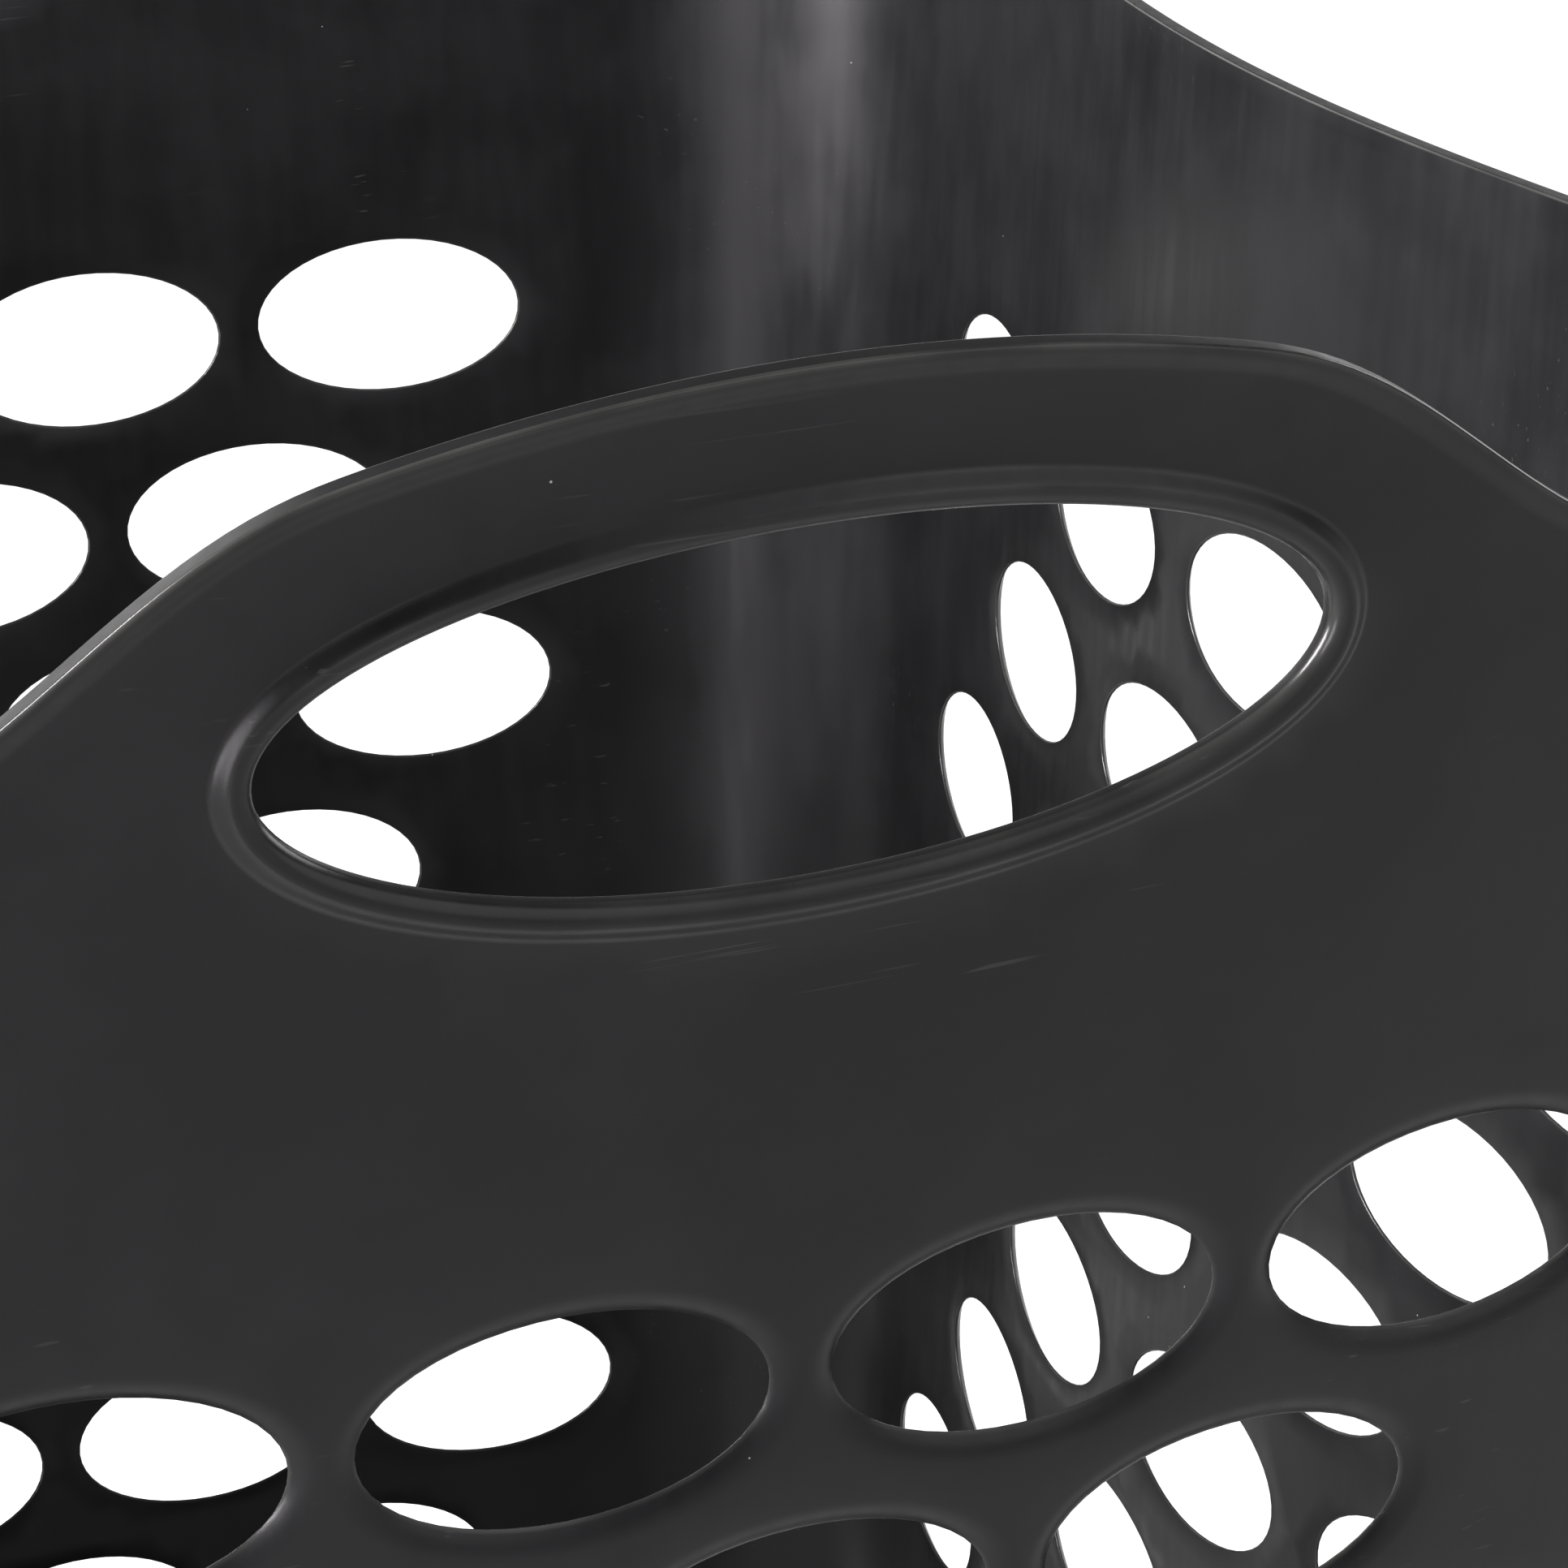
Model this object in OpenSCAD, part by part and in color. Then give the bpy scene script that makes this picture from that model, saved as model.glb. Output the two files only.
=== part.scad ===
// Perforated umbrella stand: a one-piece moulded plastic container with two raised
// hand-grip walls, a lift-out drip tray and four push-in rubber feet.
// Millimetres, +Z up. The origin is on the surface it stands on, below the middle of
// the container. The two grip walls face -Y and +Y, the two side walls face -X and +X.

/* [Container] */
// Outside width at the rim, halfway along the side walls
top_width = 258; // [252:1:262]
// Outside length at the rim, over the middle of the grip walls
top_length = 355.5; // [350:0.5:360]
// Outside width at the underside, halfway along the side walls
base_width = 191; // [188:1:200]
// Outside length at the underside, over the middle of the grip walls
base_length = 255.5; // [252:0.5:265]
// Height of the side walls, from the underside to the rim
body_height = 430; // [424:1:445]
// Wall thickness
wall = 1.5; // [1.3:0.1:3]
// Floor thickness
floor_thickness = 3; // [2.5:0.1:4]
// Corner radius in plan, at the underside
corner_radius = 27; // [22:1:30]
// How far the grip walls bow outwards, from the line of the corners to their middle
grip_wall_bow = 10.5; // [6:0.5:12]
// How far the side walls draw in, from the line of the corners to their middle
side_wall_waist = 11.5; // [6:0.5:12]

/* [Rim and grips] */
// Height of a grip lobe above the side rim
lobe_height = 32.5; // [28:0.5:35]
// Radius of the lobe's crowned top
lobe_crown = 168; // [150:2:220]
// Distance from the middle at which the lobe starts to fall to the side rim
lobe_shoulder = 39; // [34:0.5:44]
// Distance from the middle at which the lobe has become the side rim
lobe_reach = 104; // [98:0.5:106]
// Height of the thickened lip round the rim
lip_height = 2.6; // [2:0.1:4]
// How far the lip stands out from the wall
lip_out = 0.8; // [0.5:0.1:1.5]
// Full width of a hand slot
slot_width = 98.5; // [94:0.5:104]
// Full height of a hand slot
slot_height = 33.5; // [28:0.5:36]
// Height of a hand slot's middle above the side rim
slot_rise = 1; // [0:0.5:2]
// Width of the bead round a hand slot
bead_width = 3.6; // [2.5:0.1:4]
// How far the bead stands out from the wall
bead_out = 1; // [0.6:0.1:1.5]

/* [Perforations] */
// Full width of a hole
hole_width = 39; // [34:0.5:40]
// Full height of a hole
hole_height = 22; // [18:0.5:23]
// Centre distance of the holes along the grip walls
grip_wall_pitch = 45; // [43:0.5:46]
// Centre distance of the holes along the side walls
side_wall_pitch = 49.5; // [46:0.25:50]
// Centre distance of the rows of holes
row_pitch = 28; // [26:0.25:30]
// Depth of the first row's centre below the side rim
first_row_depth = 67; // [64:1:72]
// Number of rows
rows = 12; // [8:1:12]

/* [Tray and feet] */
// Gap between the drip tray and the container's wall
tray_gap = 1.2; // [0.8:0.1:2]
// Height of the drip tray
tray_height = 24; // [18:1:26]
// Wall and floor thickness of the drip tray
tray_wall = 2; // [1.6:0.1:2.5]
// Diameter of a rubber foot
foot_diameter = 18; // [14:1:22]
// Height of a rubber foot below the container
foot_height = 5; // [4:0.5:8]
// Distance of the feet from the middle, across the width
foot_x = 66; // [60:1:70]
// Distance of the feet from the middle, along the length
foot_y = 104; // [96:1:108]
// Diameter of the stem that plugs into the floor
stem_diameter = 7; // [5:0.5:9]

/* [Hidden] */

$fn = 64;
corner_steps = 7;
grip_wall_steps = 8;
side_wall_steps = 10;
lobe_steps = 20;
hole_steps = 20;
slot_steps = 40;
cut = 12;

black_plastic = [0.17, 0.17, 0.18];
tray_plastic = [0.24, 0.24, 0.25];
black_rubber = [0.1, 0.1, 0.1];

underside = foot_height;
floor_top = underside + floor_thickness;
rim = underside + body_height;
lobe_top = rim + lobe_height;
full_height = body_height + lobe_height + cut;

width_slope = (top_width - base_width) / body_height;
length_slope = (top_length - base_length) / body_height;

holes_per_side_row = 4;
stem_press = 0.1;
stem_below_floor_top = 0.3;
foot_edge = 1.5;
tray_out = -wall - tray_gap;
tray_inside_out = tray_out - tray_wall;
tray_floor_top = floor_top + tray_wall;

// Outside width and length at a height above the underside, on the sloping walls.
function width_at(h) = base_width + width_slope * h;
function length_at(h) = base_length + length_slope * h;

// A point at angle a on the corner in quadrant q of a rectangle with rounded corners.
function corner_point(half, r, q, a) =
    let (sx = (q == 0 || q == 3) ? 1 : -1, sy = q < 2 ? 1 : -1)
    [sx * (half.x - r) + r * cos(q * 90 + a), sy * (half.y - r) + r * sin(q * 90 + a)];

// The wall from the end of corner q to the start of the next one, without its ends.
function wall_points(half, r, q, steps) =
    let (from = corner_point(half, r, q, 90), to = corner_point(half, r, (q + 1) % 4, 0))
    [for (i = [1:steps - 1]) from + (to - from) * i / steps];

function rounded_rectangle(half, r) = [
    for (q = [0:3]) each concat(
        [for (i = [0:corner_steps]) corner_point(half, r, q, 90 * i / corner_steps)],
        wall_points(half, r, q, q % 2 == 0 ? grip_wall_steps : side_wall_steps))
];

// Bows the grip walls out and draws the side walls in. Sizes are those at the underside.
function bend(p, half) =
    [p.x * (1 + side_wall_waist / half.x * (1 - cos(180 * p.y / half.y)) / 2),
     p.y * (1 - grip_wall_bow / half.y * pow(p.x / half.x, 2))];

// The container's plan outline at the underside, moved outwards by the given amount.
function plan(out) =
    let (half = [base_width / 2 + out, base_length / 2 + out])
    [for (p = rounded_rectangle(half, corner_radius + out)) bend(p, half)];

// Goes from 0 to 1 with no kink and no sudden bend at either end.
function ease(t) = let (c = min(max(t, 0), 1)) c * c * c * (10 - 15 * c + 6 * c * c);

// Height of the rim above the side rim, at a distance x from the middle.
function lobe(x) =
    (lobe_height - x * x / (2 * lobe_crown))
        * (1 - ease((abs(x) - lobe_shoulder) / (lobe_reach - lobe_shoulder)));

// The rim line from one end of the lobe to the other, moved down by the given amount.
function rim_line(down) = [
    for (i = [-lobe_steps:lobe_steps])
        let (x = lobe_reach * i / lobe_steps)
        [x, rim + lobe(x) - down]
];

// A solid with the container's sloping walls, moved outwards by the given amount.
module sloping_solid(out, from) {
    top_scale = [(width_at(full_height) + 2 * out) / (base_width + 2 * out),
                 (length_at(full_height) + 2 * out) / (base_length + 2 * out)];
    intersection() {
        translate([0, 0, underside])
            linear_extrude(height = full_height, scale = top_scale, slices = 1, segments = 4)
                polygon(plan(out));
        translate([-top_width, -top_length, from])
            cube([2 * top_width, 2 * top_length, full_height]);
    }
}

// Everything above the rim line, moved down by the given amount.
module above_rim(down) {
    far = top_width;
    translate([0, top_length, 0])
        rotate([90, 0, 0])
            linear_extrude(height = 2 * top_length)
                polygon(concat([[-far, rim - down]], rim_line(down),
                    [[far, rim - down], [far, lobe_top + 2 * cut], [-far, lobe_top + 2 * cut]]));
}

// An upright elliptical prism along Y, cut away from the middle at the given distances.
module ellipse_prism(width, height, from, to, steps) {
    translate([0, to, 0])
        rotate([90, 0, 0])
            linear_extrude(height = to - from)
                polygon([for (i = [0:steps - 1])
                    [width / 2 * cos(360 * i / steps), height / 2 * sin(360 * i / steps)]]);
}

// One grip wall's slot, as a prism that runs through the wall.
module grip_slot(grow) {
    middle = length_at(body_height) / 2;
    for (turn = [0, 180])
        rotate([0, 0, turn])
            translate([0, 0, rim + slot_rise])
                ellipse_prism(slot_width + 2 * grow, slot_height + 2 * grow,
                    middle - cut, middle + cut, slot_steps);
}

// A row of holes through one wall that faces +Y: count of them, shifted along X.
module hole_row(count, pitch, shift, distance, reach) {
    for (i = [0:count - 1])
        translate([(i - (count - 1) / 2) * pitch + shift, 0, 0])
            ellipse_prism(hole_width, hole_height, distance - reach, distance + cut, hole_steps);
}

// Even rows have four holes on the grip walls and odd rows three, half a pitch apart.
// The side walls have four in every row, moved a quarter pitch one way and the other.
module perforations() {
    for (row = [0:rows - 1]) {
        depth = first_row_depth + row_pitch * row;
        odd = row % 2;
        translate([0, 0, rim - depth]) {
            for (turn = [0, 180])
                rotate([0, 0, turn])
                    hole_row(4 - odd, grip_wall_pitch, 0,
                        length_at(body_height - depth) / 2, cut);
            for (side = [0, 1])
                mirror([side, 0, 0])
                    rotate([0, 0, -90])
                        hole_row(holes_per_side_row, side_wall_pitch,
                            (2 * odd - 1) * side_wall_pitch / 4,
                            width_at(body_height - depth) / 2, cut / 2);
        }
    }
}

module at_feet() {
    for (x = [-foot_x, foot_x])
        for (y = [-foot_y, foot_y])
            translate([x, y, 0])
                children();
}

// The moulding: floor, four sloping walls, rim lip, two grip lobes with beaded slots.
module container() {
    color(black_plastic)
        difference() {
            union() {
                sloping_solid(0, underside);
                difference() {
                    sloping_solid(lip_out, rim - lip_height - 1);
                    difference() {
                        translate([-top_width, -top_length, 0])
                            cube([2 * top_width, 2 * top_length, lobe_top + cut]);
                        above_rim(lip_height);
                    }
                }
                intersection() {
                    sloping_solid(bead_out, rim - slot_height);
                    grip_slot(bead_width);
                }
            }
            sloping_solid(-wall, floor_top);
            above_rim(0);
            grip_slot(0);
            perforations();
            at_feet()
                translate([0, 0, underside - cut])
                    cylinder(d = stem_diameter, h = 2 * cut);
        }
}

// A shallow open tray that stands loose on the floor and lifts straight out.
module drip_tray() {
    color(tray_plastic)
        difference() {
            intersection() {
                sloping_solid(tray_out, floor_top);
                translate([-top_width, -top_length, 0])
                    cube([2 * top_width, 2 * top_length, floor_top + tray_height]);
            }
            sloping_solid(tray_inside_out, tray_floor_top);
        }
}

// A rubber foot: a pad with a bevelled edge below the floor and a stem plugged into it.
module foot(x, y) {
    color(black_rubber)
        translate([x, y, 0]) {
            cylinder(d1 = foot_diameter - 2 * foot_edge, d2 = foot_diameter, h = foot_edge);
            translate([0, 0, foot_edge])
                cylinder(d = foot_diameter, h = foot_height - foot_edge);
            translate([0, 0, foot_height - foot_edge])
                cylinder(d = stem_diameter + 2 * stem_press,
                    h = foot_edge + floor_thickness - stem_below_floor_top);
        }
}

container();
drip_tray();
foot(-foot_x, -foot_y);  // foot_front_left
foot(foot_x, -foot_y);  // foot_front_right
foot(-foot_x, foot_y);  // foot_back_left
foot(foot_x, foot_y);  // foot_back_right
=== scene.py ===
"""The looks of a perforated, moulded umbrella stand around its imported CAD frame.

The container is rebuilt as one closed shell on the same sloping plan as the CAD part, with
rounded hole edges, a rim lip and beaded hand slots. The drip tray follows the same plan, and
the rubber feet are turned. Lengths are in millimetres until the meshes are made, and in
metres for the camera, the lights and the floor. u is the way round the walls: x on the grip
walls and y on the side walls.
"""

import math

import bpy
import numpy as np
from mathutils import Matrix, Vector
from mathutils.geometry import delaunay_2d_cdt


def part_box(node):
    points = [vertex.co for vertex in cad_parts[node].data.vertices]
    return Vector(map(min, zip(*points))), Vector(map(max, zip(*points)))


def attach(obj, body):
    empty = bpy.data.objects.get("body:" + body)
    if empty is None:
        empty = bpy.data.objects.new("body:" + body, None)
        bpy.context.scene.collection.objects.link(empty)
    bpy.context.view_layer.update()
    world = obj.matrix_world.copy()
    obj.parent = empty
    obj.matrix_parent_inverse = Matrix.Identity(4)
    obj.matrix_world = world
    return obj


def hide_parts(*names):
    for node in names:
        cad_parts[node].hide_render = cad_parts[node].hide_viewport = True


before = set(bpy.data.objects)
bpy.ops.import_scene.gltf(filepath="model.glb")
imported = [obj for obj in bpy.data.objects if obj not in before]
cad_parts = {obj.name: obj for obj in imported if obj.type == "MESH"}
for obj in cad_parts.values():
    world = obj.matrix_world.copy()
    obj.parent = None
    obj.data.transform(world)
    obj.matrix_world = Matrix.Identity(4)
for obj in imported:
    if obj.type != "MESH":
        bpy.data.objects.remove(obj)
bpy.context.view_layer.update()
MM = 0.001

# ---------------------------------------------------------------- sizes, as in the CAD part

TOP_HALF = np.array([258.0, 355.5]) / 2
BASE_HALF = np.array([191.0, 255.5]) / 2
WALL = 1.5
FLOOR = 3.0
CORNER_RADIUS = 27.0
GRIP_WALL_BOW = 10.5
SIDE_WALL_WAIST = 11.5

LOBE_HEIGHT = 32.5
LOBE_CROWN = 168.0
LOBE_SHOULDER = 39.0
LOBE_REACH = 104.0
LIP_HEIGHT = 2.6
LIP_OUT = 0.8
SLOT_HALF = np.array([98.5, 33.5]) / 2
SLOT_RISE = 1.0
BEAD_WIDTH = 3.6
BEAD_OUT = 1.0

HOLE_HALF = np.array([39.0, 22.0]) / 2
GRIP_WALL_PITCH = 45.0
SIDE_WALL_PITCH = 49.5
SIDE_ROW_HOLES = 4
ROW_PITCH = 28.0
FIRST_ROW_DEPTH = 67.0
ROWS = 12

TRAY_GAP = 1.2
TRAY_WALL = 2.0
STEM_RADIUS = 3.5


def corners(node):
    """The lowest and highest corners of a CAD node, in millimetres."""
    return [np.array(corner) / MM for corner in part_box(node)]


def foot_middle(end, side):
    """The point in the middle of a foot, at the height of the surface that it stands on."""
    low, high = corners(f"foot_{end}_{side}")
    return (low + high) / 2 * [1, 1, 0]


FEET = [(end, side) for end in ("front", "back") for side in ("left", "right")]

foot_low, foot_high = corners("foot_front_right")
shell_low, shell_high = corners("container")
tray_low, tray_high = corners("drip_tray")
FOOT_RADIUS = (foot_high[0] - foot_low[0]) / 2
UNDERSIDE = shell_low[2]
RIM = shell_high[2] - LOBE_HEIGHT
FLOOR_TOP = UNDERSIDE + FLOOR
BODY_HEIGHT = RIM - UNDERSIDE

# ------------------------------------------------------------------- the walls as a surface

# Zones of u in a quarter of the plan: the grip wall, the corner and half a side wall.
GRIP_ZONE = 92.0
CORNER_ZONE = 60.0
SIDE_ZONE = 112.0
QUARTER = GRIP_ZONE + CORNER_ZONE + SIDE_ZONE
ROUND = 4 * QUARTER
SEAM = -(GRIP_ZONE + CORNER_ZONE / 2)

GRIP_FLAT = BASE_HALF[0] - CORNER_RADIUS
CORNER_ARC = CORNER_RADIUS * math.pi / 2
PLAN_QUARTER = GRIP_FLAT + CORNER_ARC + BASE_HALF[1] - CORNER_RADIUS


def unit(v):
    return v / np.linalg.norm(v, axis=-1, keepdims=True)


def plan_quarter(s):
    """A quarter of the plan at the underside, s along it from the middle of a grip wall."""
    turn = np.clip((s - GRIP_FLAT) / CORNER_RADIUS, 0, math.pi / 2)
    past = np.maximum(s - GRIP_FLAT - CORNER_ARC, 0)
    x = np.minimum(s, GRIP_FLAT) + CORNER_RADIUS * np.sin(turn)
    y = BASE_HALF[1] - CORNER_RADIUS * (1 - np.cos(turn)) - past
    waist = SIDE_WALL_WAIST / BASE_HALF[0] * (1 - np.cos(math.pi * y / BASE_HALF[1])) / 2
    bow = GRIP_WALL_BOW / BASE_HALF[1] * (x / BASE_HALF[0]) ** 2
    return np.stack([x * (1 + waist), y * (1 - bow)], axis=-1)


def walls(place):
    """Points of the outside wall, with its normals and its directions along u and up."""
    u = place[..., 0] % ROUND
    z = place[..., 1]
    scale = 1 + (TOP_HALF / BASE_HALF - 1) * ((z - UNDERSIDE) / BODY_HEIGHT)[..., None]
    quarter = np.floor(u / QUARTER)
    forwards = np.where(quarter % 2 == 0, 1.0, -1.0)
    along = np.where(quarter % 2 == 0, u - quarter * QUARTER, (quarter + 1) * QUARTER - u)
    grip_stretch = scale[..., 0] * (1 + SIDE_WALL_WAIST / BASE_HALF[0])
    side_stretch = scale[..., 1] * (1 - GRIP_WALL_BOW / BASE_HALF[1])
    corner_start = GRIP_ZONE / grip_stretch
    corner_end = PLAN_QUARTER - SIDE_ZONE / side_stretch
    in_corner = (along - GRIP_ZONE) / CORNER_ZONE
    s = np.where(
        in_corner <= 0,
        along / grip_stretch,
        np.where(
            in_corner >= 1,
            PLAN_QUARTER - (QUARTER - along) / side_stretch,
            corner_start + (corner_end - corner_start) * in_corner,
        ),
    )
    step = 0.01
    plan = plan_quarter(s)
    plan_step = (plan_quarter(s + step) - plan_quarter(s - step)) / (2 * step)
    slope = (TOP_HALF / BASE_HALF - 1) / BODY_HEIGHT
    flat = np.zeros(plan.shape[:-1] + (1,))
    point = np.concatenate([plan * scale, z[..., None]], axis=-1)
    along_wall = np.concatenate([plan_step * scale, flat], axis=-1)
    up_wall = np.concatenate([plan * slope, flat + 1], axis=-1)
    side = np.where(quarter < 2, 1.0, -1.0)
    end = np.where((quarter == 1) | (quarter == 2), 1.0, -1.0)
    mirror = np.stack([side, end, np.ones_like(side)], axis=-1)
    normal = unit(np.cross(up_wall, along_wall)) * mirror
    along_wall = unit(along_wall) * mirror * forwards[..., None]
    up_wall = np.cross(normal, along_wall)
    up_wall *= np.sign(up_wall[..., 2:])
    return point * mirror, normal, along_wall, up_wall


def inset(depth):
    """The walls' surface moved inwards."""

    def surface(place):
        point, normal, along, up = walls(place)
        return point - depth * normal, normal, along, up

    return surface


def level(height, facing):
    """A level surface at a height, which faces up (1) or down (-1)."""

    def surface(place):
        flat = np.zeros(place.shape[:-1] + (1,))
        point = np.concatenate([place, flat + height], axis=-1)
        ones = np.ones_like(point)
        return point, ones * [0, 0, facing], ones * [1, 0, 0], ones * [0, 1, 0]

    return surface


def ease(t):
    """Goes from 0 to 1 with no kink and no sudden bend at either end."""
    t = np.clip(t, 0, 1)
    return t**3 * (10 - 15 * t + 6 * t * t)


def rim_height(u):
    x = walls(np.stack([u, np.full_like(u, RIM)], axis=-1))[0][..., 0]
    crown = LOBE_HEIGHT - x**2 / (2 * LOBE_CROWN)
    return RIM + crown * (1 - ease((np.abs(x) - LOBE_SHOULDER) / (LOBE_REACH - LOBE_SHOULDER)))


# ------------------------------------------------------------------------------ mesh making

# The bend of an edge, in radians a millimetre, where wear starts, and how much more is full wear.
# These edges also carry a painted highlight in the plastic's colour.
WEAR_FROM = 0.3
WEAR_SPAN = 1.0


class Shell:
    """Gathers vertices, normals and faces, and makes them into one smooth mesh object.

    Each vertex also has its wear: 1 on tight edges, which hands and umbrellas rub, 0 elsewhere. The
    plastic is painted lighter on these edges, partly for wear and partly as a painted highlight.
    """

    def __init__(self):
        self.points = []
        self.normals = []
        self.wear = []
        self.faces = []
        self.count = 0

    def add(self, points, normals, wear=0.0):
        shape = points.shape[:-1]
        size = int(np.prod(shape))
        self.points.append(points.reshape(size, 3))
        self.normals.append(normals.reshape(size, 3))
        self.wear.append(np.full(size, wear))
        self.count += size
        return np.arange(self.count - size, self.count).reshape(shape)

    def bands(self, rings):
        """Quads between neighbouring rings of vertices, each ring a closed loop."""
        after = np.roll(rings, -1, axis=-1)
        quads = np.stack([rings[:-1], after[:-1], after[1:], rings[1:]], axis=-1)
        self.faces.append(quads.reshape(-1, 4))

    def edge(self, surface, curve, inward, profile):
        """Sweeps a profile along closed curves that lie in a surface's own plane.

        A profile is a list of (distance into the material, height over the surface).
        """
        profile, facing, wear = traced(profile)
        rings = []
        for (distance, height), (out_in, out_up), wear_and_highlight in zip(profile, facing, wear):
            point, normal, along, up = surface(curve + inward * distance)
            inside = inward[..., :1] * along + inward[..., 1:] * up
            facing_here = unit(out_in * inside + out_up * normal)
            rings.append(self.add(point + height * normal, facing_here, wear_and_highlight))
        self.bands(np.array(rings))
        first = (curve + inward * profile[0, 0], rings[0])
        last = (curve + inward * profile[-1, 0], rings[-1])
        return first, last

    def settle(self, ring, height, facing):
        """Brings a ring to the level of the flat surface that it borders, and returns its plan."""
        self.points = [np.concatenate(self.points)]
        self.normals = [np.concatenate(self.normals)]
        self.points[0][ring, 2] = height
        self.normals[0][ring] = [0, 0, facing]
        return self.points[0][ring][:, :2]

    def turn(self, centre, profile, sides):
        """Turns a profile of (radius, height) round an upright axis, and closes both ends."""
        profile, facing, wear = traced(profile)
        angle = 2 * math.pi * np.arange(sides) / sides
        ring = np.stack([np.cos(angle), np.sin(angle), np.zeros(sides)], axis=-1)
        up = np.array([0, 0, 1])
        rings = []
        for (radius, height), (out, rise), wear_and_highlight in zip(profile, facing, wear):
            place = centre + ring * radius + up * height
            rings.append(self.add(place, ring * out + up * rise, wear_and_highlight))
        self.bands(np.array(rings))
        self.faces += [rings[0][None], rings[-1][None]]

    def fill(self, outline, holes, inner, inner_rings):
        """Triangles inside an outline and outside its holes, through the inner points too."""
        loops = [outline] + holes
        places = np.concatenate([place for place, _ in loops] + [inner])
        indices = np.concatenate([ring for _, ring in loops] + [inner_rings])
        loop_of = [np.full(len(ring), i) for i, (_, ring) in enumerate(loops)]
        loop_of = np.concatenate(loop_of + [np.full(len(inner), -1)])
        edges = []
        start = 0
        for place, _ in loops:
            ids = np.arange(start, start + len(place))
            edges += np.stack([ids, np.roll(ids, -1)], axis=-1).tolist()
            start += len(place)
        found = delaunay_2d_cdt([Vector(p) for p in places.tolist()], edges, [], 0, 1e-5, True)
        source = np.array([ids[0] for ids in found[3]])
        corners = source[np.array(found[2])]
        loop = loop_of[corners]
        one_loop = (loop[:, 0] == loop[:, 1]) & (loop[:, 0] == loop[:, 2])
        in_hole = one_loop & (loop[:, 0] > 0)
        doubtful = one_loop & (loop[:, 0] == 0)
        outside = np.zeros(len(corners), dtype=bool)
        outside[doubtful] = ~inside_loop(places[corners[doubtful]].mean(axis=1), outline[0])
        self.faces.append(indices[corners[~in_hole & ~outside]])

    def make(self, name):
        points = np.concatenate(self.points) * MM
        normals = np.concatenate(self.normals)
        faces = []
        for group in self.faces:
            corner = points[group]
            across = np.cross(corner[:, 1] - corner[:, 0], corner[:, 2] - corner[:, 0])
            backwards = np.einsum("ij,ij->i", across, normals[group].sum(axis=1)) < 0
            group = np.where(backwards[:, None], group[:, ::-1], group)
            faces += group.tolist()
        mesh = bpy.data.meshes.new(name)
        mesh.from_pydata(points.tolist(), [], faces)
        mesh.polygons.foreach_set("use_smooth", [True] * len(mesh.polygons))
        mesh.normals_split_custom_set_from_vertices(normals.tolist())
        wear = mesh.attributes.new("wear", "FLOAT", "POINT")
        wear.data.foreach_set("value", np.concatenate(self.wear).astype(np.float32))
        piece = bpy.data.objects.new(name, mesh)
        bpy.context.scene.collection.objects.link(piece)
        return piece


def traced(profile):
    """A profile's points, the way each one faces, and how worn each one is."""
    profile = np.array(profile, dtype=float)
    run = np.gradient(profile, axis=0)
    facing = unit(np.stack([run[:, 1], -run[:, 0]], axis=-1))
    bend = np.linalg.norm(np.gradient(facing, axis=0), axis=1) / np.linalg.norm(run, axis=1)
    wear = np.clip((bend - WEAR_FROM) / WEAR_SPAN, 0, 1)
    wear[[0, -1]] = 0
    return profile, facing, wear


def inside_loop(points, loop):
    """Which points lie inside a closed loop, by counting the sides crossed on one side."""
    a, b = loop, np.roll(loop, -1, axis=0)
    x, y = points[:, :1], points[:, 1:]
    spans = (a[:, 1] > y) != (b[:, 1] > y)
    rise = np.where(b[:, 1] == a[:, 1], 1.0, b[:, 1] - a[:, 1])
    crossing = a[:, 0] + (y - a[:, 1]) * (b[:, 0] - a[:, 0]) / rise
    return (spans & (x < crossing)).sum(axis=1) % 2 == 1


def arc(centre, radii, start, end, steps):
    """Points of a profile along an elliptical arc, angles in degrees."""
    turn = np.radians(np.linspace(start, end, steps + 1))
    return [(centre[0] + radii[0] * math.cos(a), centre[1] + radii[1] * math.sin(a)) for a in turn]


def flank(start, end, steps):
    """Points of a profile that swings smoothly from one level to another."""
    t = np.linspace(0, 1, steps + 1)
    swing = t * t * (3 - 2 * t)
    start, end = np.array(start), np.array(end)
    return (start + (end - start) * np.stack([t, swing], axis=-1)).tolist()


def funnel(width, depth, steps):
    """Points of a profile that falls away from the surface, steeper and steeper."""
    t = np.linspace(0, 1, steps + 1)
    return np.stack([width * (1 - t), -depth * t * t], axis=-1).tolist()


def ellipses(centres, half, sides):
    """Closed curves round centres, with the directions from the holes into the material."""
    turn = 2 * math.pi * np.arange(sides) / sides
    ring = np.stack([np.cos(turn), np.sin(turn)], axis=-1)
    curve = np.array(centres, dtype=float)[:, None, :] + ring * half
    inward = unit(ring / half) + np.zeros_like(curve)
    return curve, inward


def pills(centres, radius, reach, sides):
    """Closed curves with round ends, drawn out along Y by the reach on either side."""
    turn = 2 * math.pi * (np.arange(sides) + 0.5) / sides
    ring = np.stack([np.cos(turn), np.sin(turn)], axis=-1)
    ends = np.stack([np.zeros(sides), np.sign(ring[:, 1]) * reach], axis=-1)
    curve = np.array(centres, dtype=float)[:, None, :] + ring * radius + ends
    return curve, ring + np.zeros_like(curve)


def spread(low, high, step):
    """Evenly spread points of a triangular grid that fills a box."""
    columns = np.arange(low[0] + step / 2, high[0], step)
    rows = np.arange(low[1] + step / 2, high[1], step * math.sqrt(3) / 2)
    x, y = np.meshgrid(columns, rows)
    x = x + np.where(np.arange(len(rows)) % 2, step / 4, -step / 4)[:, None]
    return np.stack([x.ravel(), y.ravel()], axis=-1)


# ------------------------------------------------------------------------------- container

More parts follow.
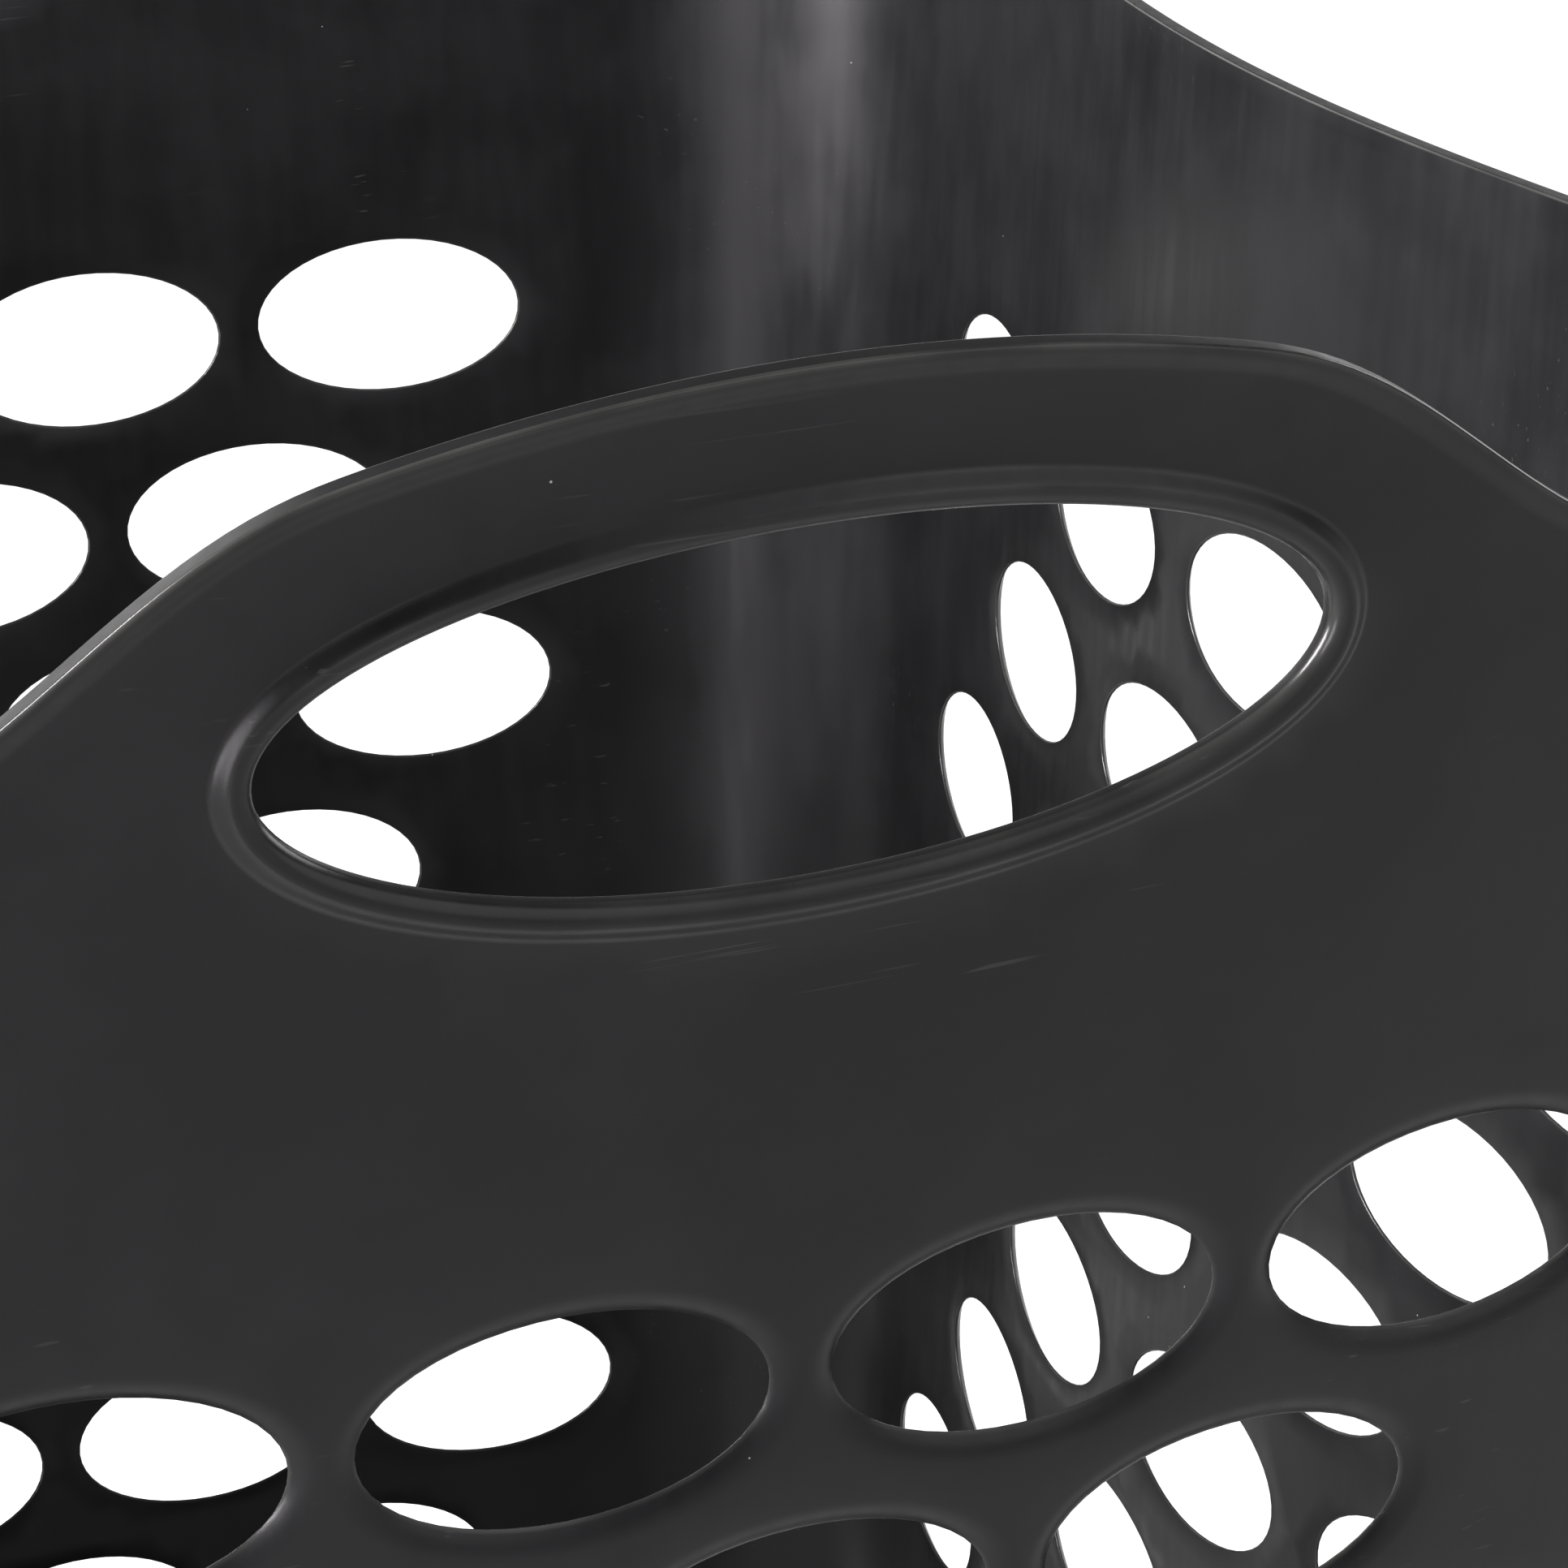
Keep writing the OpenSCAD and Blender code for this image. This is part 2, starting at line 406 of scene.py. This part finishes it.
# How fine the mesh is: sides of the loops, and spacing of the vertices between them.
HOLE_SIDES = 48
SLOT_SIDES = 128
ROUND_STEPS = 560
STEM_SIDES = 40
GRID = 4.0
FLOOR_GRID = 12.0
LOOP_MARGIN = 2.4

# The width and the depth of the dish round each hole.
HOLE_LEAD = (3.0, 1.15)
# Radii of the rounded edges: of the holes, the lip, the rim's inner side, the base and the floor.
EDGE = 0.3
LIP_ROUND = 0.4
RIM_ROUND = 0.35
BASE_ROUND = 5.0
INNER_ROUND = 3.0
# How far the lip and the bead start beyond their nominal widths, and the flat on their tops.
LIP_FOOT = 0.2
BEAD_FOOT = 0.3
CREST_FLAT = 0.1
# Distance of the bead's crest from the slot, and how far it falls from there to the slot.
BEAD_CREST = 1.9
BEAD_FALL = 1.5


def hole_centres():
    centres = []
    for row in range(ROWS):
        odd = row % 2
        z = RIM - FIRST_ROW_DEPTH - ROW_PITCH * row
        count = 4 - odd
        for i in range(count):
            x = (i - (count - 1) / 2) * GRIP_WALL_PITCH
            centres += [(x, z), (2 * QUARTER - x, z)]
        for i in range(SIDE_ROW_HOLES):
            shift = (1 - 2 * odd) / 4
            y = (i - (SIDE_ROW_HOLES - 1) / 2 + shift) * SIDE_WALL_PITCH
            centres += [(QUARTER + y, z), (3 * QUARTER - y, z)]
    return centres


def rim_curve():
    u = SEAM + ROUND * np.arange(ROUND_STEPS) / ROUND_STEPS
    z = rim_height(u)
    step = 0.1
    rise = (rim_height(u + step) - rim_height(u - step)) / (2 * step)
    return np.stack([u, z], axis=-1), unit(np.stack([rise, -np.ones_like(rise)], axis=-1))


def level_curve(height, inward):
    u = SEAM + ROUND * np.arange(ROUND_STEPS) / ROUND_STEPS
    curve = np.stack([u, np.full_like(u, height)], axis=-1)
    return curve, np.zeros_like(curve) + [0, inward]


def closed_outline(bottom, seam, top):
    """Joins the curves round the bottom and the top of the walls along the seam between them."""
    shift = [[ROUND, 0]]
    places = [bottom[0], bottom[0][:1] + shift, seam[0] + shift]
    places += [top[0][:1] + shift, top[0][::-1], seam[0][::-1]]
    rings = [bottom[1], bottom[1][:1], seam[1]]
    rings += [top[1][:1], top[1][::-1], seam[1][::-1]]
    return np.concatenate(places), np.concatenate(rings)


def skin(shell, depth, top, bottom, holes):
    """Fills one side of the walls, at a depth under the outside, between its edges."""
    facing = 1 if depth == 0 else -1
    low, high = bottom[0][0, 1], top[0][0, 1]
    seam_z = np.arange(low + GRID, high - GRID / 2, GRID)
    seam = np.stack([np.full_like(seam_z, SEAM), seam_z], axis=-1)
    point, normal, _, _ = walls(seam)
    seam_ring = shell.add(point - depth * normal, facing * normal)
    outline = closed_outline(bottom, (seam, seam_ring), top)
    inner = spread((SEAM, low), (SEAM + ROUND, top[0][:, 1].max()), GRID)
    rim_here = np.interp(inner[:, 0], top[0][:, 0], top[0][:, 1], period=ROUND)
    clear = (inner[:, 1] < rim_here - LOOP_MARGIN) & (inner[:, 1] > low + LOOP_MARGIN)
    clear &= inner[:, 0] > SEAM + LOOP_MARGIN
    clear &= inner[:, 0] < SEAM + ROUND - LOOP_MARGIN
    for place, _ in holes:
        centre = (place.max(axis=0) + place.min(axis=0)) / 2
        reach = (place.max(axis=0) - place.min(axis=0)) / 2 + LOOP_MARGIN
        clear &= (((inner - centre) / reach) ** 2).sum(axis=1) > 1
    inner = inner[clear]
    point, normal, _, _ = walls(inner)
    ring = shell.add(point - depth * normal, facing * normal)
    shell.fill(outline, holes, inner, ring)


def floor_side(shell, height, facing, edge, holes):
    """Fills the underside or the floor inside the loop where the walls reach it."""
    loop = shell.settle(edge[1], height, facing)
    inner = spread(loop.min(axis=0), loop.max(axis=0), FLOOR_GRID)
    shrunk = loop * (1 - 2 * LOOP_MARGIN / np.abs(loop).max())
    clear = inside_loop(inner, shrunk)
    for place, _ in holes:
        clear &= np.linalg.norm(inner - place.mean(axis=0), axis=1) > FOOT_RADIUS
    inner = inner[clear]
    point, normal, _, _ = level(height, facing)(inner)
    shell.fill((loop, edge[1]), holes, inner, shell.add(point, normal))


def container():
    shell = Shell()
    lead_in, lead_depth = HOLE_LEAD
    inner_edge = arc((EDGE, EDGE - WALL), (EDGE, EDGE), 180, 270, 3)
    hole_profile = funnel(lead_in, lead_depth, 8) + inner_edge
    bead_roll = BEAD_CREST - CREST_FLAT
    slot_profile = (
        flank((BEAD_WIDTH + BEAD_FOOT, 0), (BEAD_CREST, BEAD_OUT), 10)
        + arc((bead_roll, BEAD_OUT - BEAD_FALL), (bead_roll, BEAD_FALL), 90, 180, 9)[1:]
        + inner_edge
    )
    lip_profile = (
        flank((LIP_HEIGHT + LIP_FOOT, 0), (LIP_ROUND + CREST_FLAT, LIP_OUT), 8)
        + arc((LIP_ROUND, LIP_OUT - LIP_ROUND), (LIP_ROUND, LIP_ROUND), 90, 180, 6)
        + arc((RIM_ROUND, RIM_ROUND - WALL), (RIM_ROUND, RIM_ROUND), 180, 270, 4)
    )
    base_profile = arc((BASE_ROUND, -BASE_ROUND), (BASE_ROUND, BASE_ROUND), 90, 180, 6)
    inner_round = arc((INNER_ROUND, INNER_ROUND), (INNER_ROUND, INNER_ROUND), 180, 270, 5)
    floor_profile = [(distance, -height - WALL) for distance, height in inner_round]

    curve, inward = ellipses(hole_centres(), HOLE_HALF, HOLE_SIDES)
    hole_out, hole_in = shell.edge(walls, curve, inward, hole_profile)
    slot_z = RIM + SLOT_RISE
    curve, inward = ellipses([(0, slot_z), (2 * QUARTER, slot_z)], SLOT_HALF, SLOT_SIDES)
    slot_out, slot_in = shell.edge(walls, curve, inward, slot_profile)
    rim_out, rim_in = shell.edge(walls, *rim_curve(), lip_profile)
    base_out, base_in = shell.edge(walls, *level_curve(UNDERSIDE, 1), base_profile)
    floor_in, floor_out = shell.edge(walls, *level_curve(FLOOR_TOP, 1), floor_profile)

    outer_holes = list(zip(*hole_out)) + list(zip(*slot_out))
    inner_holes = list(zip(*hole_in)) + list(zip(*slot_in))
    skin(shell, 0, rim_out, base_out, outer_holes)
    skin(shell, WALL, rim_in, floor_out, inner_holes)

    stems = [foot_middle(end, side)[:2] for end, side in FEET]
    curve, inward = ellipses(stems, np.array([STEM_RADIUS, STEM_RADIUS]), STEM_SIDES)
    stem_profile = (
        arc((EDGE, -EDGE), (EDGE, EDGE), 90, 180, 2)
        + arc((EDGE, EDGE - FLOOR), (EDGE, EDGE), 180, 270, 2)
    )
    stem_out, stem_in = shell.edge(level(UNDERSIDE, -1), curve, inward, stem_profile)
    floor_side(shell, UNDERSIDE, -1, base_in, list(zip(*stem_out)))
    floor_side(shell, FLOOR_TOP, 1, floor_in, list(zip(*stem_in)))
    piece = shell.make("container_shell")
    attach(piece, "stand")
    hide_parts("container")
    return piece


# -------------------------------------------------------------------------- tray and feet

# Radii of the tray's rounded rim, of its outside corner and of the fillet inside.
TRAY_LIP = 0.9
TRAY_CORNER = 3.0
TRAY_FILLET = 4.0
RIB_COUNT = 5
RIB_SPACING = 22.0
RIB_RADIUS = 3.0
# Half the length of a rib's straight part, and how far its side stands outside its top.
RIB_REACH = 72.0
RIB_SIDE = 0.42
RIB_HEIGHT = 0.7
RIB_SIDES = 48

FOOT_SIDES = 64
# Radius of the flat middle that closes each end of a foot.
FOOT_MIDDLE = 0.5
# The ring that a foot stands on: its flat width, its rounded edges and the recess inside it.
RING_WIDTH = 2.0
RING_INNER_ROUND = 0.5
RING_OUTER_ROUND = 1.4
RECESS_DEPTH = 0.9
RECESS_SLOPE = 0.8
# The groove round a foot: its distance below the top, half its width and its depth.
GROOVE_DROP = 1.4
GROOVE_HALF = 0.2
GROOVE_DEPTH = 0.25
PAD_ROUND = 0.4
# The width and height of the collar at the bottom of a stem, and the rounding of its tip.
COLLAR = (0.4, 0.3)
STEM_ROUND = 0.6


def drip_tray():
    """A loose tray on the floor, with a rounded rim and low ribs that umbrella tips rest on."""
    shell = Shell()
    surface = inset(WALL + TRAY_GAP)
    low, high = tray_low[2], tray_high[2]
    inner_floor = low + TRAY_WALL
    lip_profile = arc((TRAY_LIP, -TRAY_LIP), (TRAY_LIP, TRAY_LIP), 90, 180, 5) + arc(
        (TRAY_LIP, TRAY_LIP - TRAY_WALL), (TRAY_LIP, TRAY_LIP), 180, 270, 5
    )
    corner_profile = arc((TRAY_CORNER, -TRAY_CORNER), (TRAY_CORNER, TRAY_CORNER), 90, 180, 6)
    fillet = arc((TRAY_FILLET, TRAY_FILLET), (TRAY_FILLET, TRAY_FILLET), 180, 270, 6)
    fillet_profile = [(distance, -height - TRAY_WALL) for distance, height in fillet]
    lip_out, lip_in = shell.edge(surface, *level_curve(high, -1), lip_profile)
    corner_out, corner_in = shell.edge(surface, *level_curve(low, 1), corner_profile)
    fillet_in, fillet_out = shell.edge(surface, *level_curve(inner_floor, 1), fillet_profile)
    shell.bands(np.array([lip_out[1], corner_out[1]]))
    shell.bands(np.array([lip_in[1], fillet_out[1]]))

    ribs = [((i - (RIB_COUNT - 1) / 2) * RIB_SPACING, 0) for i in range(RIB_COUNT)]
    curve, inward = pills(ribs, RIB_RADIUS, RIB_REACH, RIB_SIDES)
    half = RIB_HEIGHT / 2
    foot_of_rib = arc((RIB_SIDE + RIB_HEIGHT, half), (half, half), 270, 180, 3)
    top_of_rib = arc((RIB_SIDE, half), (half, half), 0, 90, 3)
    floor = level(inner_floor, 1)
    rib_out, rib_in = shell.edge(floor, curve, inward, foot_of_rib + top_of_rib)
    floor_side(shell, low, -1, corner_in, [])
    floor_side(shell, inner_floor, 1, fillet_in, list(zip(*rib_out)))
    for outline in zip(*rib_in):
        shell.fill(outline, [], np.zeros((0, 2)), np.zeros(0, dtype=int))
    piece = shell.make("drip_tray_moulding")
    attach(piece, "tray")
    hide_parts("drip_tray")
    return piece


def rubber_foot(end, side):
    """A round pad with a ringed underside, and the stem that plugs into the floor."""
    bottom, top, tip = foot_low[2], UNDERSIDE, foot_high[2]
    ring_out = FOOT_RADIUS - RING_OUTER_ROUND
    ring_in = ring_out - RING_WIDTH
    recess = bottom + RECESS_DEPTH
    groove = top - GROOVE_DROP
    inner, outer = RING_INNER_ROUND, RING_OUTER_ROUND
    collar_width, collar_height = COLLAR
    stem_end = tip - STEM_ROUND
    profile = (
        [(FOOT_MIDDLE, recess), (ring_in - RECESS_SLOPE, recess)]
        + arc((ring_in, bottom + inner), (inner, inner), 180, 270, 3)
        + arc((ring_out, bottom + outer), (outer, outer), 270, 360, 6)
        + [(FOOT_RADIUS, groove - GROOVE_HALF)]
        + [(FOOT_RADIUS - GROOVE_DEPTH, groove)]
        + [(FOOT_RADIUS, groove + GROOVE_HALF)]
        + arc((FOOT_RADIUS - PAD_ROUND, top - PAD_ROUND), (PAD_ROUND, PAD_ROUND), 0, 90, 3)
        + [(STEM_RADIUS + collar_width, top), (STEM_RADIUS, top + collar_height)]
        + [(STEM_RADIUS, stem_end)]
        + arc((STEM_RADIUS - STEM_ROUND, stem_end), (STEM_ROUND, STEM_ROUND), 0, 90, 3)
        + [(FOOT_MIDDLE, tip)]
    )
    shell = Shell()
    shell.turn(foot_middle(end, side), profile, FOOT_SIDES)
    piece = shell.make(f"foot_{end}_{side}_rubber")
    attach(piece, "stand")
    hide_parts(f"foot_{end}_{side}")
    return piece


# ------------------------------------------------------------------------------- materials

# A plastic's darker and lighter colour, and its roughness.
CONTAINER_PLASTIC = ((0.0036, 0.0035, 0.0038), (0.0054, 0.0052, 0.0056), 0.34)
TRAY_PLASTIC = ((0.012, 0.012, 0.0125), (0.016, 0.016, 0.0165), 0.46)
PLASTIC_SPECULAR = 0.18
PLASTIC_SPECULAR_TINT = (1, 0.96, 1, 1)
SCUFF_COLOUR = (0.05, 0.05, 0.05)
# A lighter grey for the tight edges: partly wear, partly a painted highlight along them.
WEAR_AND_HIGHLIGHT_COLOUR = (0.045, 0.045, 0.042)
DUST_COLOUR = (0.3, 0.3, 0.29)

# The sizes of the noise patterns along each axis.
CLOUD_SIZES = [26] * 3
STREAK_SIZES = [2.4, 2.4, 90]
GRAIN_SIZES = [0.55] * 3
SCUFF_SIZES = [60, 0.5, 0.7]
SCUFF_PATCH_SIZES = [38] * 3
WEAR_SIZES = [14] * 3
WAVE_SIZES = [45] * 3
BLOOM_SIZES = [5] * 3
PIT_SIZES = [0.3] * 3

# The spacing and the radius of the dust specks, and the share of them that shows.
DUST_SPECKS = (6, 0.16, 0.3)

# How deep the patterns reach into the surface.
WAVE_DEPTH = 0.25
STREAK_DEPTH = 0.012
GRAIN_DEPTH = 0.006
PIT_DEPTH = 0.02

RUBBER_DARK = (0.012, 0.012, 0.012)
RUBBER_LIGHT = (0.024, 0.024, 0.023)
WORN_RUBBER = (0.05, 0.05, 0.048)


class Finish:
    """A procedural material. Sizes are in millimetres, measured in the piece's own space."""

    def __init__(self, name):
        self.material = bpy.data.materials.new(name)
        self.material.use_nodes = True
        self.tree = self.material.node_tree
        self.shader = self.tree.nodes["Principled BSDF"]
        self.place = self.node("TexCoord").outputs["Object"]

    def put(self, socket, value):
        if isinstance(value, bpy.types.NodeSocket):
            self.tree.links.new(value, socket)
        else:
            socket.default_value = value

    def node(self, kind, inputs=(), **settings):
        made = self.tree.nodes.new("ShaderNode" + kind)
        for name, value in settings.items():
            setattr(made, name, value)
        for name, value in dict(inputs).items():
            self.put(made.inputs[name], value)
        return made

    def sized(self, sizes):
        """The place, scaled so that one unit is the given size along each axis."""
        scale = [1 / (size * MM) for size in sizes]
        return self.node("Mapping", {"Vector": self.place, "Scale": scale}).outputs["Vector"]

    def noise(self, sizes, detail=3.0, roughness=0.5):
        inputs = {"Vector": self.sized(sizes), "Scale": 1.0}
        inputs |= {"Detail": detail, "Roughness": roughness}
        return self.node("TexNoise", inputs).outputs["Fac"]

    def specks(self, spacing, radius, share):
        """1 on small round specks, on about the given share of a jittered grid's points."""
        cells = self.node("TexVoronoi", {"Vector": self.sized([spacing] * 3), "Scale": 1.0})
        near = self.ramp(cells.outputs["Distance"], radius / spacing, 0.4 * radius / spacing, 0, 1)
        pick = self.node("SeparateColor", {"Color": cells.outputs["Color"]}).outputs["Red"]
        chosen = self.node("Math", {0: pick, 1: share}, operation="LESS_THAN").outputs[0]
        return self.product(near, chosen)

    def ramp(self, value, low, high, start, end):
        """A value that goes smoothly from start at low to end at high."""
        inputs = {"Value": value, "From Min": low, "From Max": high, "To Min": start, "To Max": end}
        return self.node("MapRange", inputs, interpolation_type="SMOOTHSTEP").outputs["Result"]

    def product(self, first, second):
        return self.node("Math", {0: first, 1: second}, operation="MULTIPLY").outputs[0]

    def total(self, first, second):
        return self.node("Math", {0: first, 1: second}, operation="ADD").outputs[0]

    def tint(self, factor, first, second):
        """Mixes two colours, each a triple or a socket."""
        mix = self.node("Mix", {0: factor}, data_type="RGBA")
        for socket, value in ((mix.inputs[6], first), (mix.inputs[7], second)):
            self.put(socket, (*value, 1) if isinstance(value, tuple) else value)
        return mix.outputs[2]

    def bump(self, height, depth, under=None):
        """Raises the surface by a height from 0 to 1, times a depth in millimetres."""
        inputs = {"Height": height, "Distance": depth * MM, "Strength": 1.0}
        if under:
            inputs["Normal"] = under
        return self.node("Bump", inputs).outputs["Normal"]

    def wear_and_highlight(self):
        """The wear of the edges, broken up so that it comes and goes along them; the plastic also
        places its painted highlight by it.
        """
        wear = self.node("Attribute", attribute_name="wear").outputs["Fac"]
        return self.product(wear, self.ramp(self.noise(WEAR_SIZES, 4), 0.3, 0.7, 0.25, 1))


def black_plastic(name, dark, light, roughness):
    """Satin moulded plastic: cloudy, faintly streaked along the draw, with dust and scuffs."""
    finish = Finish(name)
    cloud = finish.noise(CLOUD_SIZES, 4, 0.6)
    streak = finish.noise(STREAK_SIZES, 2)
    grain = finish.noise(GRAIN_SIZES, 2)
    scuff = finish.ramp(finish.noise(SCUFF_SIZES, 2), 0.68, 0.74, 0, 1)
    patches = finish.ramp(finish.noise(SCUFF_PATCH_SIZES), 0.5, 0.65, 0, 1)
    scuff = finish.product(scuff, patches)
    dust = finish.specks(*DUST_SPECKS)
    wear_and_highlight = finish.wear_and_highlight()

    colour = finish.tint(finish.ramp(cloud, 0.35, 0.65, 0, 1), dark, light)
    colour = finish.tint(finish.product(scuff, 0.3), colour, SCUFF_COLOUR)
    # Tight edges are painted lighter: partly wear, partly a painted highlight, such as the bright
    # hairline on the rim's far edge.
    colour = finish.tint(finish.product(wear_and_highlight, 0.5), colour, WEAR_AND_HIGHLIGHT_COLOUR)
    colour = finish.tint(finish.product(dust, 0.7), colour, DUST_COLOUR)
    finish.put(finish.shader.inputs["Base Color"], colour)

    cloudy = finish.ramp(cloud, 0.3, 0.7, roughness - 0.03, roughness + 0.04)
    rough = finish.total(cloudy, finish.ramp(streak, 0.3, 0.7, -0.03, 0.03))
    rough = finish.total(rough, finish.product(wear_and_highlight, -0.2))
    rough = finish.total(rough, finish.product(dust, 0.3))
    finish.put(finish.shader.inputs["Roughness"], rough)
    finish.put(finish.shader.inputs["Specular IOR Level"], PLASTIC_SPECULAR)
    finish.put(finish.shader.inputs["Specular Tint"], PLASTIC_SPECULAR_TINT)

    waves = finish.bump(finish.noise(WAVE_SIZES, 2), WAVE_DEPTH)
    streaks = finish.bump(streak, STREAK_DEPTH, waves)
    finish.put(finish.shader.inputs["Normal"], finish.bump(grain, GRAIN_DEPTH, streaks))
    return finish.material


def black_rubber():
    """Dull rubber with a fine pitted surface and a paler bloom."""
    finish = Finish("black_rubber")
    bloom = finish.noise(BLOOM_SIZES, 4)
    pits = finish.noise(PIT_SIZES, 2)
    colour = finish.tint(finish.ramp(bloom, 0.4, 0.7, 0, 1), RUBBER_DARK, RUBBER_LIGHT)
    colour = finish.tint(finish.product(finish.wear_and_highlight(), 0.6), colour, WORN_RUBBER)
    finish.put(finish.shader.inputs["Base Color"], colour)
    finish.put(finish.shader.inputs["Roughness"], finish.ramp(bloom, 0.3, 0.7, 0.62, 0.78))
    finish.put(finish.shader.inputs["Normal"], finish.bump(pits, PIT_DEPTH))
    return finish.material


container().data.materials.append(black_plastic("container_plastic", *CONTAINER_PLASTIC))
drip_tray().data.materials.append(black_plastic("tray_plastic", *TRAY_PLASTIC))
rubber = black_rubber()
for end, side in FEET:
    rubber_foot(end, side).data.materials.append(rubber)

# ---------------------------------------------------------------- camera, lights and stage

# The camera that was fitted to the outlines in the photograph, with its angles in radians.
CAMERA_PLACE = Vector((-0.1566, -0.5799, RIM * MM + 0.1661))
CAMERA_YAW = 0.3643
CAMERA_PITCH = 0.3796
CAMERA_ROLL = -0.0316
CAMERA_LENS = 125.4
SENSOR_WIDTH = 36
CLIP_START = 0.01

# Each softbox: its name, its place, its width and height, and its power in watts.
SOFTBOXES = [
    # The soft highlight down the far corner, and the light on the side wall's inner face.
    ("side_softbox", (-1.2, -0.03, 1.0), (0.3, 1.1), 125.0),
    # The bright curl on the left end of the slot's bead.
    ("strip_softbox", (-0.88, -0.78, 0.45), (0.1, 0.7), 12.0),
    # The outer flank of the bead, above the slot.
    ("front_softbox", (0.9, -1.25, 1.2), (1.4, 1.6), 16.0),
    # The top of the rim, where it slopes down to the left.
    ("back_softbox", (-0.6, 1.9, 1.35), (0.9, 0.9), 11.0),
    # The outside of the right wall, which the photograph doesn't show.
    ("right_softbox", (1.7, 0.3, 0.9), (1.0, 1.0), 20.0),
    # The far edge of the rim, where it is level or slopes down to the right.
    ("horizon_softbox", (0.9, 2.4, 0.62), (3.0, 0.25), 5.0),
]
AMBIENT = 0.18
FLOOR_REACH = 40
FLOOR_SHADE = (0.15, 0.15, 0.15, 1)
FLOOR_ROUGHNESS = 0.8
FLOOR_GLOW = 0.93
WHITE = (1, 1, 1, 1)


def camera():
    forward = Vector(
        (
            math.sin(CAMERA_YAW) * math.cos(CAMERA_PITCH),
            math.cos(CAMERA_YAW) * math.cos(CAMERA_PITCH),
            -math.sin(CAMERA_PITCH),
        )
    )
    level_right = forward.cross(Vector((0, 0, 1))).normalized()
    level_up = level_right.cross(forward)
    right = math.cos(CAMERA_ROLL) * level_right + math.sin(CAMERA_ROLL) * level_up
    up = -math.sin(CAMERA_ROLL) * level_right + math.cos(CAMERA_ROLL) * level_up
    data = bpy.data.cameras.new("camera")
    data.sensor_width = SENSOR_WIDTH
    data.lens = CAMERA_LENS
    data.clip_start = CLIP_START
    eye = bpy.data.objects.new("camera", data)
    axes = Matrix((right, up, -forward)).transposed().to_4x4()
    eye.matrix_world = Matrix.Translation(CAMERA_PLACE) @ axes
    bpy.context.scene.collection.objects.link(eye)
    bpy.context.scene.camera = eye


def softbox(name, place, size, power):
    """A rectangular area light that faces the stand's open top."""
    data = bpy.data.lights.new(name, "AREA")
    data.shape = "RECTANGLE"
    data.size, data.size_y = size
    data.energy = power
    light = bpy.data.objects.new(name, data)
    light.visible_camera = False
    aim = Vector((0, 0, RIM * MM)) - place
    turn = aim.to_track_quat("-Z", "Y").to_matrix().to_4x4()
    light.matrix_world = Matrix.Translation(place) @ turn
    bpy.context.scene.collection.objects.link(light)


def stage():
    """A white paper floor that glows, so that it stays white behind the dark stand."""
    mesh = bpy.data.meshes.new("floor")
    half = FLOOR_REACH
    edge = [(-half, -half, 0), (half, -half, 0), (half, half, 0), (-half, half, 0)]
    mesh.from_pydata(edge, [], [(0, 1, 2, 3)])
    floor = bpy.data.objects.new("floor", mesh)
    paper = bpy.data.materials.new("white_paper")
    paper.use_nodes = True
    shader = paper.node_tree.nodes["Principled BSDF"]
    shader.inputs["Base Color"].default_value = FLOOR_SHADE
    shader.inputs["Roughness"].default_value = FLOOR_ROUGHNESS
    shader.inputs["Emission Color"].default_value = WHITE
    shader.inputs["Emission Strength"].default_value = FLOOR_GLOW
    mesh.materials.append(paper)
    bpy.context.scene.collection.objects.link(floor)
    world = bpy.data.worlds.new("studio")
    world.use_nodes = True
    background = world.node_tree.nodes["Background"]
    background.inputs["Color"].default_value = WHITE
    background.inputs["Strength"].default_value = AMBIENT
    bpy.context.scene.world = world


camera()
for name, place, size, power in SOFTBOXES:
    softbox(name, Vector(place), size, power)
stage()
bpy.context.scene.view_settings.view_transform = "Standard"
